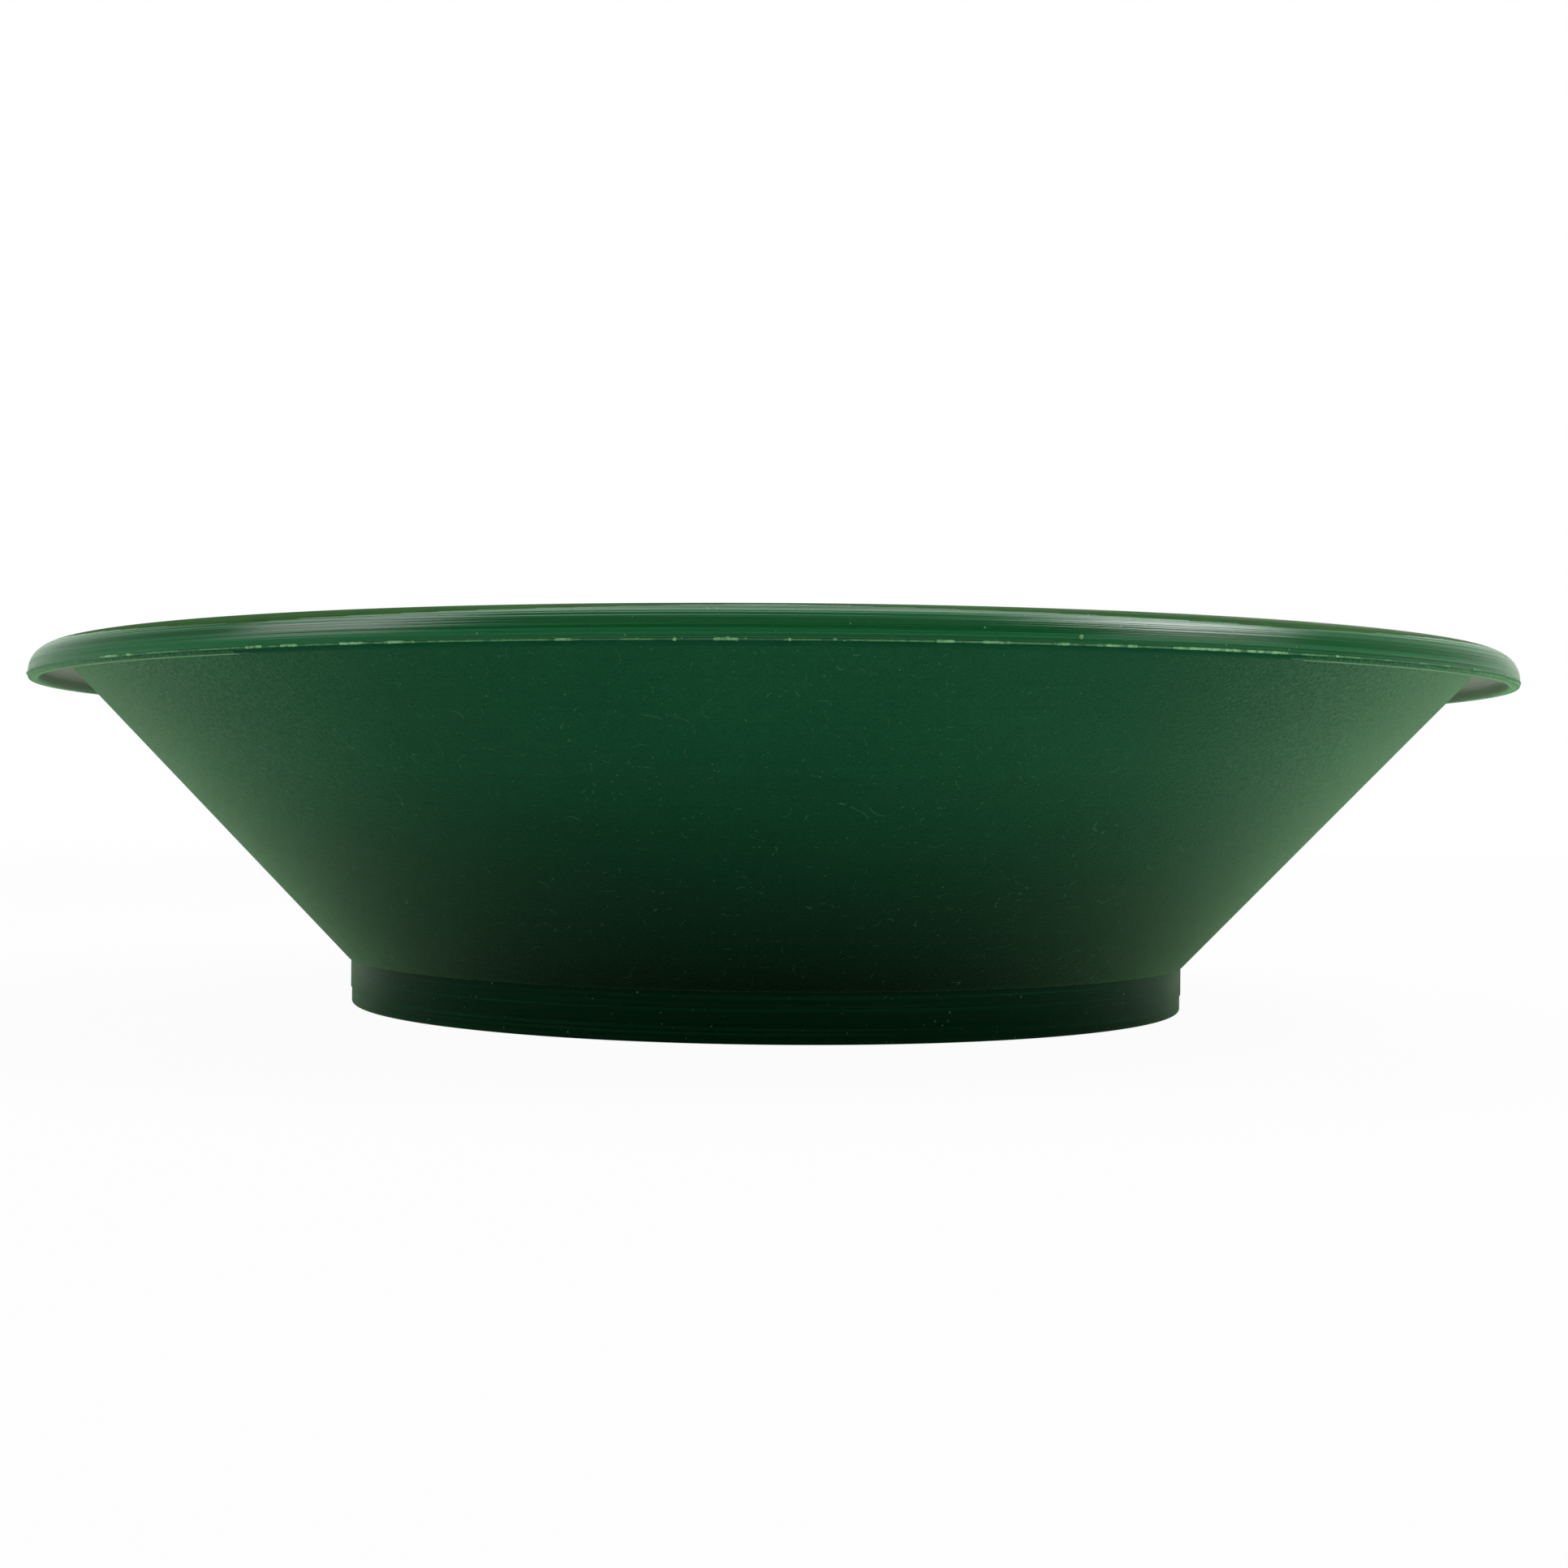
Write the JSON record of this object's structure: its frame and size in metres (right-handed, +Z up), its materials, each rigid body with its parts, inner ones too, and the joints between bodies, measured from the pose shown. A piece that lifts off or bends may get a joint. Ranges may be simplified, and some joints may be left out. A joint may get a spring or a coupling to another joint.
{
  "type": "gold pan",
  "caption": "Shallow conical plastic gold pan with a flat floor, foot ring, rolled down-turned rim and ledge riffles on one side of the bowl.",
  "frame": {"origin": "centre of the circle that the foot ring stands on", "axes": "+Z up along the axis of the bowl, +Y towards the side with the riffles, +X to the right"},
  "size_m": [0.3556, 0.3556, 0.0839],
  "materials": {
    "wall_plastic": "dark green polypropylene, fine satin grain from the mould",
    "rim_plastic": "dark green polypropylene, semi-gloss with fine turning lines round the rim",
    "foot_plastic": "dark green polypropylene, satin with fine turning lines round the ring",
    "floor_plastic": "dark green polypropylene, satin, lightly scuffed",
    "riffle_plastic": "dark green polypropylene, satin",
    "flash_plastic": "thin torn plastic, paler green where it is stressed"
  },
  "bodies": {
    "root": {"foot_ring": "foot_plastic", "floor": "floor_plastic", "floor_corner": "floor_plastic", "side_wall": "wall_plastic", "rim_flange": "rim_plastic", "rim_skirt": "rim_plastic", "parting_flash": "flash_plastic", "riffle_lower": "riffle_plastic", "riffle_middle": "riffle_plastic", "riffle_upper": "riffle_plastic", "gate_stub": "flash_plastic"}
  },
  "joints": []
}
